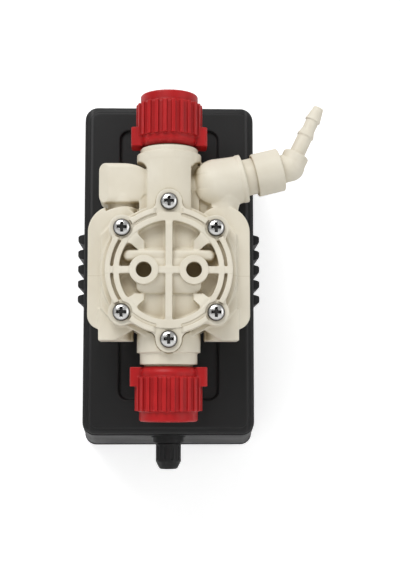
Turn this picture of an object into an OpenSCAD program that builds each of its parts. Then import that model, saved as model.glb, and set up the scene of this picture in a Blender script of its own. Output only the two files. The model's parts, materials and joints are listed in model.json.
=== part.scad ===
// Wall-hung solenoid dosing pump: black case, pale plastic liquid end, red union nuts.
// X runs to the right, Z up, and the front of the pump faces -Y.
// The origin is the centre of the four wall inserts, on the back face.

/* [Case] */
// Width of the front lid
case_w = 102.6; // [98:0.2:130]
// Height of the front lid
case_h = 198.6; // [190:0.2:240]
// Depth from the wall face to the front of the lid
case_d = 110; // [104:1:140]
// Radius of the lid's corners
corner_r = 7.8; // [6:0.2:12]
// Flare of the sides and top, from the lid back to the wall
flare_side = 6; // [3:0.5:8]
// Flare of the underside, from the lid back to the wall
flare_low = 11.4; // [6:0.2:14]
// Thickness of the housing walls
wall_t = 3; // [2.5:0.25:4]
// Thickness of the front lid
lid_t = 8; // [7:0.5:10]
// Width of the lid's lower border
border_w = 3.8; // [3:0.2:6]
// Height of the lid's middle panel above the border
panel_rise = 1.4; // [0.8:0.2:2]
// Width of the recess behind the pump head
recess_w = 59.6; // [56:0.4:64]
// Height of the recess behind the pump head
recess_h = 163.4; // [150:0.4:170]
// Depth of the recess
recess_depth = 2; // [1:0.25:3]
// Thickness of the rear cover
rear_t = 5; // [4:0.5:8]
// Thickness of the flat seals at the lid and the rear cover
seal_t = 1; // [0.8:0.1:2]
// Cooling fins on each side
fin_count = 5; // [3:1:7]
// Spacing of the cooling fins
fin_pitch = 9.2; // [8:0.2:10]
// Distance of the fin tips from the centre plane
fin_reach = 55.5; // [54:0.5:57]

/* [Wall mount] */
// Spacing of the wall inserts across
mount_x = 70; // [60:1:76]
// Spacing of the wall inserts up and down
mount_z = 150; // [130:1:160]
// Radius of the tapped hole in each insert
insert_r = 2.1; // [1.65:0.05:2.5]
// Length of each insert
insert_l = 10; // [8:0.5:12]

/* [Pump head] */
// Height of the head's centre above the origin
head_z = -6.25; // [-12:0.25:0]
// Distance of the valve column's axis in front of the lid
axis_t = 27; // [25:0.5:30]
// Distance of the four corner screws from the head's axis
screw_ring_r = 35.4; // [35:0.1:36.4]
// Distance of the top and bottom screws from the head's axis
screw_end_r = 38.6; // [38:0.1:39.2]
// Angle of the corner screws above and below the sides
screw_angle = 42; // [38:1:46]
// Radius of the screw shanks
screw_r = 2.5; // [2:0.1:2.5]
// Radius of the screw heads
screw_head_r = 4.9; // [4.4:0.1:5.2]
// Half width of the head plate
plate_x = 46.25; // [44:0.25:48]
// Thickness of the backplate
backplate_t = 8; // [7:0.5:9]
// Thickness of the diaphragm
diaphragm_t = 1.5; // [1:0.1:2]
// Radius of the discharge column
upper_col_r = 12.5; // [12:0.25:14]
// Radius of the suction column
lower_col_r = 18.2; // [17:0.2:18.6]
// Radius of the discharge flange
flange_r = 18.7; // [18:0.1:19]
// Radius of the thread under each union nut
thread_r = 13.9; // [13:0.1:14.2]
// Length of the thread under each union nut
thread_l = 15.5; // [13:0.5:17]
// Radius of the side ports under the head
side_port_r = 6.6; // [5.5:0.1:7]
// Depth of the side ports
side_port_l = 11; // [8:0.5:11]
// Distance of the side ports from the centre plane
side_port_x = 30.1; // [29:0.1:31]
// Radius of the two sockets in the front bosses
socket_r = 4.4; // [3.5:0.1:5]
// Depth of the two sockets
socket_l = 8; // [5:0.5:9]
// Distance of the sockets from the centre plane
socket_x = 14; // [12.5:0.25:15]

/* [Union nuts] */
// Radius over the grip ribs
nut_r = 19.3; // [18.9:0.1:21]
// Reach of the two lugs from the nut's axis
lug_r = 22; // [21.2:0.2:23.5]
// Length of the smooth collar
collar_l = 5.6; // [4:0.2:8]
// Length of the ribbed grip
grip_l = 19.9; // [18:0.1:24]
// Length of the plain end ring
ring_l = 5.7; // [4:0.1:8]
// Ribs round the grip
rib_count = 24; // [16:2:30]
// Radius of the pipe socket in each connector
pipe_r = 8; // [6:0.5:8]
// Depth of the pipe socket
pipe_l = 13; // [10:1:14]

/* [Valves] */
// Radius of the check balls
ball_r = 4; // [3.5:0.1:4.2]
// Travel of the check balls
ball_lift = 1.5; // [1:0.1:2]
// Outer radius of the valve cartridges
cartridge_r = 8.8; // [8.4:0.1:9.2]
// Length of one ball's stage in a cartridge
stage_l = 13; // [12:0.5:13.5]

/* [Bleed branch] */
// Slope of the branch above the horizontal
branch_angle = 13.9; // [5:0.1:20]
// Radius of the branch collar
branch_r = 14.15; // [13.5:0.05:15]
// Radius of the bleed nut
bleed_nut_r = 12.6; // [12.2:0.1:14]
// Length of the bleed nut
bleed_nut_l = 15.9; // [14:0.1:18]
// Gap between the branch collar and the bleed nut
bleed_gap = 6.4; // [5:0.2:8]
// Bend between the branch and the hose tail
tail_angle = 50.5; // [30:0.5:60]
// Radius of the elbow's first leg
elbow_r = 8.25; // [7.5:0.05:8.8]
// Length of the hose tail beyond the elbow
tail_l = 30.7; // [24:0.1:36]
// Radius of the hose tail's bore
tail_bore_r = 1.8; // [1:0.1:2.2]

/* [Cable gland] */
// Distance of the gland's axis behind the lid face
gland_back = 20; // [19:0.5:26]
// Radius of the gland's flange
gland_flange_r = 9.3; // [8.8:0.1:10.5]
// Radius of the gland nut
gland_nut_r = 7.75; // [7.4:0.05:8.4]
// Length of the gland nut
gland_nut_l = 15.8; // [13:0.1:18]
// Radius of the cable the gland seals on
cable_r = 3.2; // [2.5:0.1:3.4]

/* [Drive] */
// Stroke of the diaphragm
stroke = 1.25; // [0.8:0.05:1.5]
// Radius of the push rod
rod_r = 3; // [2.5:0.1:3.2]
// Radius of the armature
armature_r = 9.1; // [8.5:0.1:9.6]
// Length of the armature
armature_l = 30; // [26:1:34]
// Outer radius of the coil
coil_r = 18; // [16:0.5:18.5]
// Length of the bobbin
bobbin_l = 40; // [36:1:44]
// Thickness of the solenoid's steel frame
yoke_t = 5; // [4:0.5:6]

/* [Clearances] */
// Radial clearance of a running shaft in its bush
run_gap = 0.05; // [0.02:0.01:0.1]
// Radial clearance of pieces that slide in or over each other
slide_gap = 0.3; // [0.2:0.05:0.4]
// Clearance of fixed pieces that are pushed together
seat_gap = 0.05; // [0.02:0.01:0.1]

/* [Hidden] */
$fn = 96;
corner_fn = 32;
overlap = 0.2;
skin = 0.02;

case_black = [0.15, 0.15, 0.16];
cream = [0.88, 0.84, 0.74];
nut_red = [0.70, 0.08, 0.09];
steel = [0.72, 0.73, 0.75];
copper = [0.72, 0.40, 0.20];

// Depth stack of the case, measured back from the front of the lid.
shell_front = lid_t + seal_t;
front_wall = 4;
rear_face = case_d - rear_t;
shell_back = rear_face - seal_t;
chamber_front = shell_front + front_wall;
boss_reach = 10;
boss_r = 5;

// Rear cover screws.
rear_screw_r = 1.8;
rear_screw_l = 14.8;
rear_head_r = 3.4;
rear_sink = 2.5;

// Circuit board, low in the case behind its posts.
board_z = -(case_h / 2 - 29.3);
board_w = case_w - 20.6;
board_h = 36;
board_t = 1.6;
post_l = 6;
post_rise = 13;

// Heights of the recess and the rows of fins.
recess_z = 2.7;
recess_r = 6;
fin_mid_z = -1.9;
fin_start = shell_front + 1.5;
fin_l = 70;

// Depth stack of the pump head, measured forward from the front of the lid.
backplate_front = backplate_t;
head_back = backplate_front + diaphragm_t;
core_flange = head_back + 6.5;
drum_r = 33.8;
drum_front = 30;
plate_front = 36;
step_front = 40;
lobe_front = 48.5;
cover_front = 50;

plate_pad = 2.2;
end_tip = 32;

step_r = 38.7;
cover_r = 35.85;
rim_inner_r = 32.8;
ring_outer_r = 31.1;
ring_inner_r = 27.9;
lobe_r = 7.4;
lobe_fillet = 4.5;
screw_head_h = 3.4;
slot_half = 7;
chamber_r = 22;
chamber_h = 4;
diaphragm_r = 30;
spigot_r = 19.8;
port_offset = 15;
side_port_low = -45.1;
side_tube_r = 8.8;
passage_r = 3;
side_passage_r = 2.8;

// Heights of the two valve columns, both from the origin.
flange_top = 62.8;
neck_top = 66.2;
neck_top_r = 16.75;
upper_nut_z = 67.1;
lower_end = -51.9;
neck_low = -58.75;
neck_low_r = 16.45;
nut_l = collar_l + grip_l + ring_l;
neck_to_nut = upper_nut_z - neck_top;
cartridge_l = 2 * stage_l;
cartridge_bore_l = cartridge_l + 1;
nut_shoulder = neck_to_nut + 19;
connector_flange_r = thread_r - 0.6;
connector_flange_l = nut_shoulder - thread_l - 2 * seat_gap;
connector_r = pipe_r + 2.2;

// Bleed branch, from the collar's end face along the branch axis.
branch_x = 43.6;
branch_z = 49.9;
bulb_back = 16.5;
bulb_r = branch_r + 0.85;
stub_r = 9.3;
bleed_thread_r = 10.6;
bleed_thread_l = 11;
bleed_bore_r = 5.8;
bleed_bore_l = 9;
bleed_seat_r = 2;
bleed_flange_l = 2.6;
elbow_base = bleed_thread_l + 0.3 + bleed_flange_l + seat_gap;
elbow_flange_l = 3;
nut_wall = elbow_base + elbow_flange_l + 0.2;
bleed_end = bleed_gap + bleed_nut_l;
elbow_corner = bleed_end + 5.8;
tail_start = 8.55;
tail_shoulder_r = 7.7;

// Gland under the case.
gland_y = gland_back - case_d;
gland_pad_z = -(case_h / 2 + flare_low * gland_back / case_d + 0.25);
gland_flange_l = 3.2;
gland_thread_r = 6;
gland_stub_l = 8;

// Solenoid, measured back from the front of the lid.
yoke_front = chamber_front + seat_gap;
bobbin_front = yoke_front + yoke_t + seat_gap;
bobbin_back = bobbin_front + bobbin_l;
bobbin_wall = 1.2;
bobbin_flange_l = 2;
yoke_back = bobbin_back + seat_gap + yoke_t;
armature_front = 40;
armature_gap = stroke + 0.75;
armature_back = armature_front + armature_l;
pole_front = yoke_front - 3;
pole_back = armature_front - armature_gap;
cap_back = armature_back + 10;
cap_wall = 6;
spring_bore_r = 6;
spring_depth = 8;
spring_front = pole_back - spring_depth + seat_gap;
spring_back = armature_front + spring_depth - seat_gap;
spring_wire_r = 0.6;
spring_turns = 6;
core_front = backplate_front - seat_gap;
core_l = 4;
core_r = chamber_r - 6.2;
rod_back = cap_back - 2;

// A rounded rectangle between x0, x1 and y0, y1, made of true arcs.
module round_rect(x0, x1, y0, y1, r) {
    translate([x0 + r, y0])
        square([x1 - x0 - 2 * r, y1 - y0]);
    translate([x0, y0 + r])
        square([x1 - x0, y1 - y0 - 2 * r]);
    for (x = [x0 + r, x1 - r], y = [y0 + r, y1 - r])
        translate([x, y])
            circle(r);
}

// A centred rounded rectangle.
module centred_rect(w, h, r) {
    round_rect(-w / 2, w / 2, -h / 2, h / 2, r);
}

// Frame on the lid's face: x right, y up, z forward, away from the wall.
module on_lid() {
    translate([0, -case_d, 0])
        rotate([90, 0, 0])
            children();
}

// The same frame, centred on the pump head.
module on_head() {
    translate([0, 0, head_z])
        on_lid()
            children();
}

// Slice of the frame on the lid between two depths behind the lid's face.
module behind_lid(from, to) {
    on_lid()
        translate([0, 0, -to])
            linear_extrude(to - from)
                children();
}

// Frame on the axis of both valve columns, at a height above the origin.
module on_column(z = 0) {
    translate([0, -case_d - axis_t, z])
        children();
}

// Frame on the bleed branch: z runs out along the branch from the collar's end face.
module on_branch() {
    translate([branch_x, -case_d - axis_t, branch_z])
        rotate([0, 90 - branch_angle, 0])
            children();
}

// Where the head screws sit: four long ones at the corners, a short one above and below.
function corner_spots() = [for (x = [-1, 1], y = [-1, 1])
    screw_ring_r * [x * cos(screw_angle), y * sin(screw_angle)]];
function end_spots() = [[0, screw_end_r], [0, -screw_end_r]];

module at_corners() {
    for (spot = corner_spots())
        translate(spot)
            children();
}

module at_ends() {
    for (spot = end_spots())
        translate(spot)
            children();
}

// A disc with a round lobe at each screw, blended into the disc by hollow fillets.
module lobed_disc(r) {
    circle(r);
    for (spot = concat(corner_spots(), end_spots()))
        rotate(atan2(spot[1], spot[0])) {
            far = norm(spot);
            reach = r + lobe_fillet;
            a = acos((reach * reach + far * far - pow(lobe_r + lobe_fillet, 2)) / (2 * reach * far));
            foot = reach * [cos(a), sin(a)];
            translate([far, 0])
                circle(lobe_r);
            difference() {
                polygon([[0, 0], [foot[0], -foot[1]], [far, 0], foot]);
                for (side = [-1, 1])
                    translate([foot[0], side * foot[1]])
                        circle(lobe_fillet + skin);
            }
        }
}

// Outline of the flared housing at a depth behind the lid's face, drawn inside it by inset.
module case_outline(depth, inset = 0) {
    side = flare_side * depth / case_d - inset;
    low = flare_low * depth / case_d - inset;
    r = max(1, corner_r - inset);
    round_rect(-case_w / 2 - side, case_w / 2 + side, -case_h / 2 - low, case_h / 2 + side, r,
        $fn = corner_fn);
}

// The flared block between two depths.
module case_block(from, to, inset = 0) {
    hull() {
        behind_lid(from, from + skin)
            case_outline(from, inset);
        behind_lid(to - skin, to)
            case_outline(to, inset);
    }
}

// A tube along z.
module tube(r_out, r_in, l) {
    difference() {
        cylinder(r = r_out, h = l);
        translate([0, 0, -overlap])
            cylinder(r = r_in, h = l + 2 * overlap);
    }
}

// A ring of round section round z.
module ring(r, wire_r) {
    rotate_extrude()
        translate([r, 0])
            circle(wire_r, $fn = 24);
}

// Case

module front_lid() {
    chamfer = 1.6;
    line_w = 0.8;
    color(case_black)
        difference() {
            union() {
                behind_lid(panel_rise + chamfer, lid_t)
                    centred_rect(case_w, case_h, corner_r);
                hull() {
                    behind_lid(panel_rise + chamfer - skin, panel_rise + chamfer)
                        centred_rect(case_w, case_h, corner_r, $fn = corner_fn);
                    behind_lid(panel_rise, panel_rise + skin)
                        centred_rect(case_w - 2 * chamfer, case_h - 2 * chamfer,
                            corner_r - chamfer, $fn = corner_fn);
                }
                behind_lid(0, panel_rise + chamfer)
                    centred_rect(case_w - 2 * border_w, case_h - 2 * border_w, corner_r - 2.8);
            }
            translate([0, 0, recess_z])
                behind_lid(-overlap, recess_depth)
                    centred_rect(recess_w, recess_h, recess_r);
            translate([0, 0, recess_z])
                behind_lid(recess_depth - overlap, recess_depth + line_w)
                    difference() {
                        centred_rect(recess_w, recess_h, recess_r);
                        centred_rect(recess_w - 2 * line_w, recess_h - 2 * line_w,
                            recess_r - line_w);
                    }
            on_head() {
                translate([0, 0, -lid_t - overlap])
                    cylinder(r = spigot_r + slide_gap, h = lid_t);
                translate([0, 0, -lid_t - overlap])
                    at_corners()
                        cylinder(r = screw_r + seat_gap, h = lid_t + 2 * overlap);
            }
        }
}

module lid_seal() {
    color("dimgray")
        difference() {
            behind_lid(lid_t, shell_front)
                centred_rect(case_w - 1, case_h - 1, corner_r - 0.5);
            behind_lid(lid_t - overlap, shell_front + overlap)
                centred_rect(case_w - 2 * wall_t, case_h - 2 * wall_t, corner_r - wall_t);
        }
}

// Section of one cooling fin, from inside the wall out to its blunt tip.
module fin_section() {
    root_x = case_w / 2 - 0.8;
    polygon([[root_x, -3], [fin_reach - 1.3, -2.1], [fin_reach - 0.3, -1.6], [fin_reach, -1],
        [fin_reach, 1], [fin_reach - 0.3, 1.6], [fin_reach - 1.3, 2.1], [root_x, 3]]);
}

module cooling_fins() {
    for (side = [0, 1], i = [0 : fin_count - 1])
        mirror([side, 0, 0])
            translate([0, 0, fin_mid_z + (i - (fin_count - 1) / 2) * fin_pitch])
                behind_lid(fin_start, fin_start + fin_l)
                    fin_section();
}

// Where the rear cover screws sit: the four corners and half way up each side.
function rear_spots() = [for (x = [-1, 1], z = [-1, 0, 1])
    [x * (case_w / 2 + flare_side - 8.5), z * (case_h / 2 - 5.3)]];

module at_rear_screws() {
    for (spot = rear_spots())
        translate(spot)
            children();
}

module board_posts(l) {
    for (x = [-1, 1] * (board_w / 2 - 5), z = [board_z - post_rise, board_z + post_rise])
        translate([x, z, -chamber_front - l])
            children();
}

module housing_shell() {
    rear_boss_l = 30;
    color(case_black)
        difference() {
            union() {
                difference() {
                    union() {
                        case_block(shell_front, shell_back);
                        cooling_fins();
                    }
                    case_block(chamber_front, shell_back + overlap, wall_t);
                }
                on_lid() {
                    translate([0, head_z, -chamber_front - boss_reach])
                        at_corners()
                            cylinder(r = boss_r, h = boss_reach + overlap);
                    board_posts(post_l)
                        cylinder(r = 3.5, h = post_l + overlap);
                    translate([0, 0, -shell_back])
                        intersection() {
                            at_rear_screws()
                                cylinder(r = 6.5, h = rear_boss_l);
                            linear_extrude(rear_boss_l)
                                case_outline(shell_back - rear_boss_l, 1);
                        }
                }
                translate([0, gland_y, gland_pad_z])
                    cylinder(r = gland_flange_r + 1.3, h = 5);
            }
            translate([0, gland_y, gland_pad_z - 12])
                cylinder(r = gland_flange_r + 0.4, h = 12);
            translate([0, gland_y, gland_pad_z - overlap])
                cylinder(r = gland_thread_r + seat_gap, h = 8);
            on_head() {
                translate([0, 0, -chamber_front - overlap])
                    cylinder(r = spigot_r + slide_gap, h = front_wall + 2 * overlap);
                translate([0, 0, -chamber_front - boss_reach + 1.5])
                    at_corners()
                        cylinder(r = screw_r + seat_gap, h = boss_reach + front_wall);
            }
            on_lid() {
                board_posts(post_l - 0.5)
                    cylinder(r = 1.3, h = post_l - 0.5 + overlap);
                translate([0, 0, -shell_back - overlap])
                    at_rear_screws()
                        cylinder(r = rear_screw_r + seat_gap, h = rear_screw_l - 0.8);
            }
        }
}

module rear_cover() {
    insert_boss_r = 6;
    lip_l = 4;
    color(case_black)
        difference() {
            union() {
                behind_lid(rear_face, case_d)
                    case_outline(case_d);
                behind_lid(shell_back - lip_l, rear_face + overlap)
                    difference() {
                        case_outline(shell_back - lip_l, wall_t + slide_gap);
                        case_outline(shell_back - lip_l, wall_t + slide_gap + 2);
                        at_rear_screws()
                            circle(6.5 + slide_gap);
                    }
                for (x = [-1, 1], z = [-1, 1])
                    translate([x * mount_x / 2, 0, z * mount_z / 2])
                        rotate([90, 0, 0])
                            cylinder(r = insert_boss_r, h = insert_l + 3);
            }
            for (x = [-1, 1], z = [-1, 1])
                translate([x * mount_x / 2, overlap, z * mount_z / 2])
                    rotate([90, 0, 0])
                        cylinder(r = insert_r + 1.1 + seat_gap, h = insert_l + 1 + overlap);
            on_lid()
                translate([0, 0, -case_d - overlap])
                    at_rear_screws() {
                        cylinder(r = rear_screw_r + seat_gap, h = rear_t + 2);
                        cylinder(r = rear_head_r + slide_gap, h = rear_sink + overlap);
                    }
        }
}

module rear_cover_seal() {
    color("dimgray")
        difference() {
            behind_lid(shell_back, rear_face)
                case_outline(shell_back, 0.4);
            behind_lid(shell_back - overlap, rear_face + overlap)
                case_outline(shell_back, wall_t);
        }
}

module rear_cover_screws() {
    color(steel)
        on_lid()
            translate([0, 0, -case_d])
                at_rear_screws() {
                    translate([0, 0, rear_sink - 0.4])
                        cylinder(r = rear_screw_r, h = rear_screw_l);
                    difference() {
                        translate([0, 0, 0.3])
                            cylinder(r = rear_head_r, h = rear_sink - 0.3);
                        translate([0, 0, -overlap])
                            cross_slot(3.6, 1.4);
                    }
                }
}

module wall_inserts() {
    color("goldenrod")
        for (x = [-1, 1], z = [-1, 1])
            translate([x * mount_x / 2, 0, z * mount_z / 2])
                rotate([90, 0, 0])
                    tube(insert_r + 1.1, insert_r, insert_l);
}

module control_board() {
    color("darkgreen")
        on_lid()
            translate([0, 0, -chamber_front - post_l - board_t]) {
                difference() {
                    translate([0, board_z, 0])
                        linear_extrude(board_t)
                            centred_rect(board_w, board_h, 2);
                    translate([0, 0, chamber_front + post_l])
                        board_posts(post_l)
                            translate([0, 0, -3])
                                cylinder(r = 1.5, h = 6);
                }
                translate([-30, board_z - 5, -20])
                    cube([24, 20, 20]);
                for (x = [0, 12])
                    translate([x, board_z + 8, -16])
                        cylinder(r = 5, h = 16);
                translate([19, board_z - 1, -6])
                    cube([11, 14, 6]);
            }
}

module terminal_block() {
    ways = 4;
    pitch = 5;
    block_l = 10;
    color("seagreen")
        on_lid()
            translate([-4, board_z - board_h / 2, -chamber_front - post_l - board_t - block_l])
                difference() {
                    cube([ways * pitch + 1, 9, block_l]);
                    for (i = [0 : ways - 1])
                        translate([0.5 + (i + 0.5) * pitch, 3, -overlap])
                            cylinder(r = 1.7, h = 5);
                }
}

// Cable gland, drawn downwards from the pad under the case.

module on_gland() {
    translate([0, gland_y, gland_pad_z])
        rotate([180, 0, 0])
            children();
}

module gland_body() {
    color(case_black)
        on_gland()
            difference() {
                union() {
                    cylinder(r = gland_flange_r, h = gland_flange_l);
                    translate([0, 0, -8])
                        cylinder(r = gland_thread_r, h = 8 + overlap);
                    cylinder(r = gland_thread_r, h = gland_flange_l + gland_stub_l);
                }
                translate([0, 0, -8 - overlap])
                    cylinder(r1 = cable_r + 0.9, r2 = cable_r + 0.5, h = 16);
                translate([0, 0, gland_flange_l])
                    cylinder(r = gland_thread_r - 1.2, h = gland_stub_l + overlap);
            }
}

module gland_seal() {
    color("dimgray")
        on_gland()
            translate([0, 0, gland_flange_l + 0.8])
                difference() {
                    union() {
                        cylinder(r = gland_thread_r - 1.2 - seat_gap, h = 8);
                        translate([0, 0, gland_stub_l - 0.5])
                            cylinder(r1 = gland_thread_r - 0.4, r2 = cable_r + 1, h = 2.8);
                    }
                    translate([0, 0, -overlap])
                        cylinder(r = cable_r + 0.1, h = 12);
                }
}

module gland_nut() {
    tip_l = 4.8;
    tip_r = 5.2;
    flute_count = 10;
    color(case_black)
        on_gland()
            translate([0, 0, gland_flange_l + 0.3])
                difference() {
                    rotate_extrude()
                        polygon([[0, 0], [gland_nut_r, 0], [gland_nut_r, gland_nut_l - tip_l],
                            [tip_r + 0.6, gland_nut_l - 0.8], [tip_r - 0.2, gland_nut_l],
                            [0, gland_nut_l]]);
                    translate([0, 0, -overlap])
                        cylinder(r = gland_thread_r + slide_gap, h = gland_stub_l + 3 + overlap);
                    translate([0, 0, -overlap])
                        cylinder(r1 = cable_r + 0.9, r2 = cable_r + 1.3, h = gland_nut_l + 1);
                    for (i = [0 : flute_count - 1])
                        rotate(i * 360 / flute_count)
                            translate([gland_nut_r + 0.5, 0, 1.5])
                                cylinder(r = 1.1, h = gland_nut_l - tip_l - 2.5);
                }
}

// Solenoid drive, on the head's axis behind the lid.

module solenoid_yoke() {
    half_x = coil_r + 1.5;
    half_y = coil_r + 1;
    side_t = 3;
    color(steel)
        on_head()
            difference() {
                translate([-half_x - side_t, -half_y, -yoke_back])
                    cube([2 * (half_x + side_t), 2 * half_y, yoke_back - yoke_front]);
                translate([-half_x, -half_y - overlap, -yoke_back + yoke_t])
                    cube([2 * half_x, 2 * (half_y + overlap),
                        yoke_back - yoke_front - 2 * yoke_t]);
                translate([0, 0, -yoke_front - yoke_t - overlap])
                    cylinder(r = armature_r + seat_gap, h = yoke_t + 2 * overlap);
                translate([0, 0, -yoke_back - overlap])
                    cylinder(r = armature_r + slide_gap, h = yoke_t + 2 * overlap);
            }
}

module solenoid_end_cap() {
    wall = 3;
    inner_r = armature_r + 3;
    color("dimgray")
        on_head()
            difference() {
                translate([0, 0, -cap_back])
                    cylinder(r = inner_r + wall, h = cap_back - yoke_back);
                translate([0, 0, -cap_back + cap_wall])
                    cylinder(r = inner_r, h = cap_back);
                translate([0, 0, -cap_back - overlap])
                    cylinder(r = rod_r + 1.5 + seat_gap, h = 10);
            }
}

module coil_bobbin() {
    bobbin_r = armature_r + slide_gap;
    color("ivory")
        on_head()
            difference() {
                union() {
                    translate([0, 0, -bobbin_back])
                        cylinder(r = bobbin_r + bobbin_wall, h = bobbin_l);
                    for (z = [-bobbin_back, -bobbin_front - bobbin_flange_l])
                        translate([0, 0, z])
                            cylinder(r = coil_r + 0.8, h = bobbin_flange_l);
                }
                translate([0, 0, -bobbin_back - overlap])
                    cylinder(r = bobbin_r, h = bobbin_l + 2 * overlap);
            }
}

module solenoid_coil() {
    color(copper)
        on_head()
            translate([0, 0, -bobbin_back + bobbin_flange_l])
                tube(coil_r, armature_r + slide_gap + bobbin_wall + seat_gap,
                    bobbin_l - 2 * bobbin_flange_l);
}

module pole_piece() {
    color(steel)
        on_head()
            difference() {
                translate([0, 0, -pole_back])
                    cylinder(r = armature_r, h = pole_back - pole_front);
                translate([0, 0, -pole_back - overlap])
                    cylinder(r = rod_r + 1, h = pole_back);
                translate([0, 0, -pole_back - overlap])
                    cylinder(r = spring_bore_r, h = spring_depth + overlap);
            }
}

module rod_bush(r_out, l) {
    color("darkgoldenrod")
        tube(r_out, rod_r + run_gap, l);
}

module front_bush() {
    on_head()
        translate([0, 0, -pole_front - 12])
            rod_bush(rod_r + 1, 12);
}

module rear_bush() {
    on_head()
        translate([0, 0, -cap_back])
            rod_bush(rod_r + 1.5, cap_wall);
}

module rear_stop() {
    color("dimgray")
        on_head()
            translate([0, 0, -cap_back + cap_wall])
                tube(armature_r, rod_r + 1.2, cap_back - cap_wall - armature_back - seat_gap);
}

module armature() {
    color(steel)
        on_head()
            difference() {
                translate([0, 0, -armature_back])
                    cylinder(r = armature_r, h = armature_l);
                translate([0, 0, -armature_back - overlap])
                    cylinder(r = rod_r + run_gap / 2, h = armature_l + 2 * overlap);
                translate([0, 0, -armature_front - spring_depth])
                    cylinder(r = spring_bore_r, h = spring_depth + overlap);
            }
}

module drive_rod() {
    color(steel)
        on_head()
            translate([0, 0, -rod_back])
                cylinder(r = rod_r, h = rod_back + core_front - core_l);
}

module diaphragm_core() {
    color(steel)
        on_head()
            rotate_extrude()
                polygon([[0, core_front - core_l], [rod_r + 3, core_front - core_l],
                    [core_r - 0.8, core_front - 1.6], [core_r, core_front - 0.8], [core_r, core_front],
                    [0, core_front]]);
}

// The spring's wire, swept as rings of points along a helix.
module return_spring() {
    sides = 8;
    steps = 16;
    coil = (spring_bore_r + rod_r) / 2;
    low = -spring_back + spring_wire_r;
    rise = spring_back - spring_front - 2 * spring_wire_r;
    count = spring_turns * steps;
    function wire_point(i, j) =
        let (turn = 360 * i / steps, side = 360 * j / sides)
            [(coil + spring_wire_r * cos(side)) * cos(turn),
                (coil + spring_wire_r * cos(side)) * sin(turn),
                low + rise * i / count + spring_wire_r * sin(side)];
    points = [for (i = [0 : count], j = [0 : sides - 1]) wire_point(i, j)];
    walls = [for (i = [0 : count - 1], j = [0 : sides - 1])
        [i * sides + j, (i + 1) * sides + j, (i + 1) * sides + (j + 1) % sides,
            i * sides + (j + 1) % sides]];
    low_end = [for (j = [0 : sides - 1]) j];
    high_end = [for (j = [0 : sides - 1]) count * sides + sides - 1 - j];
    color(steel)
        on_head()
            polyhedron(points, concat([low_end], walls, [high_end]));
}

module diaphragm() {
    lobe = 3;
    color("black")
        on_head()
            translate([0, 0, backplate_front])
                difference() {
                    cylinder(r = diaphragm_r, h = diaphragm_t);
                    translate([0, 0, diaphragm_t])
                        ring(chamber_r - lobe, diaphragm_t / 2);
                }
}

// Pump head

module head_backplate() {
    color(case_black)
        on_head()
            difference() {
                union() {
                    cylinder(r = step_r - 1.7, h = backplate_t);
                    translate([0, 0, -recess_depth])
                        cylinder(r = recess_w / 2 - slide_gap, h = recess_depth + overlap);
                    translate([0, 0, -chamber_front + 0.5])
                        cylinder(r = spigot_r, h = chamber_front);
                    at_corners()
                        cylinder(r = lobe_r, h = backplate_t);
                }
                translate([0, 0, backplate_front - core_l - 2])
                    cylinder(r = chamber_r, h = core_l + 3);
                translate([0, 0, -chamber_front])
                    cylinder(r = armature_r + slide_gap, h = chamber_front + backplate_front);
                translate([0, 0, -recess_depth - overlap])
                    at_corners()
                        cylinder(r = screw_r + seat_gap, h = backplate_t + recess_depth + 1);
            }
}

// Outline of the side plate: two ears with round tops, joined across the head.
module plate_outline() {
    ear_r = 15.5;
    ear_y = 22.95;
    foot_r = 8;
    foot_y = -24.45;
    for (side = [0, 1])
        mirror([side, 0]) {
            translate([plate_x - ear_r, ear_y])
                circle(ear_r);
            translate([plate_x - foot_r, foot_y])
                circle(foot_r);
            translate([0, foot_y])
                square([plate_x, ear_y - foot_y]);
            translate([0, foot_y - foot_r])
                square([plate_x - foot_r, foot_r]);
        }
}

// Outline of the raised pad in the middle of the plate.
module pad_outline() {
    side_x = step_r - 0.1;
    top_x = 31.5;
    polygon([[-side_x, 21.25], [-top_x, 29.2], [top_x, 29.2], [side_x, 21.25],
        [side_x, -20.75], [top_x, -28.7], [-top_x, -28.7], [-side_x, -20.75]]);
}

// Square block over a side port, its lower inner corner cut away in front, on a round tube.
module side_port_block() {
    half_w = 9.75;
    block_h = 18;
    block_d = 20;
    cut_from = 29;
    inner_x = side_port_x - half_w;
    difference() {
        translate([inner_x, -case_d - plate_front - 1, side_port_low])
            cube([2 * half_w, block_d, block_h]);
        on_lid()
            translate([0, 0, cut_from])
                linear_extrude(block_d)
                    polygon([[side_port_x, side_port_low - 1], [side_port_x, side_port_low],
                        [inner_x, side_port_low + 6], [inner_x - 1, side_port_low + 6.6],
                        [inner_x - 1, side_port_low - 1]]);
    }
    translate([side_port_x, -case_d - axis_t, side_port_low])
        cylinder(r = side_tube_r, h = 65);
}

// Rounded block at the top left, running into the column, with a short neck down to the plate.
module left_block() {
    x0 = -40.4;
    z0 = 36.7;
    z1 = 57.2;
    fall_x = -28;
    fall_r = 28.5;
    block_back = 13;
    edge_r = 3;
    face_y = -case_d - plate_front;
    intersection() {
        on_lid()
            translate([0, 0, block_back])
                linear_extrude(plate_front - block_back)
                    intersection() {
                        round_rect(x0, -4, z0, z1, 4);
                        union() {
                            translate([x0, z0])
                                square([fall_x - x0, z1 - z0]);
                            translate([fall_x, z1 - fall_r])
                                circle(fall_r);
                        }
                    }
        translate([0, 0, z0 - 1])
            linear_extrude(z1 - z0 + 2)
                polygon([[x0 - 1, face_y + 30], [x0 - 1, face_y + 4.7], [x0 + 5.5, face_y],
                    [0, face_y], [0, face_y + 30]]);
        translate([x0, 0, 0])
            rotate([90, 0, 90])
                linear_extrude(-x0)
                    round_rect(face_y, -case_d - block_back, z0, z1, edge_r);
    }
    translate([-side_port_x + 3.6, -case_d - axis_t, 20])
        cylinder(r = stub_r, h = 20);
    translate([-17.3, -case_d - plate_front + 0.5, 20])
        cube([10, 14, 20]);
}

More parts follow.
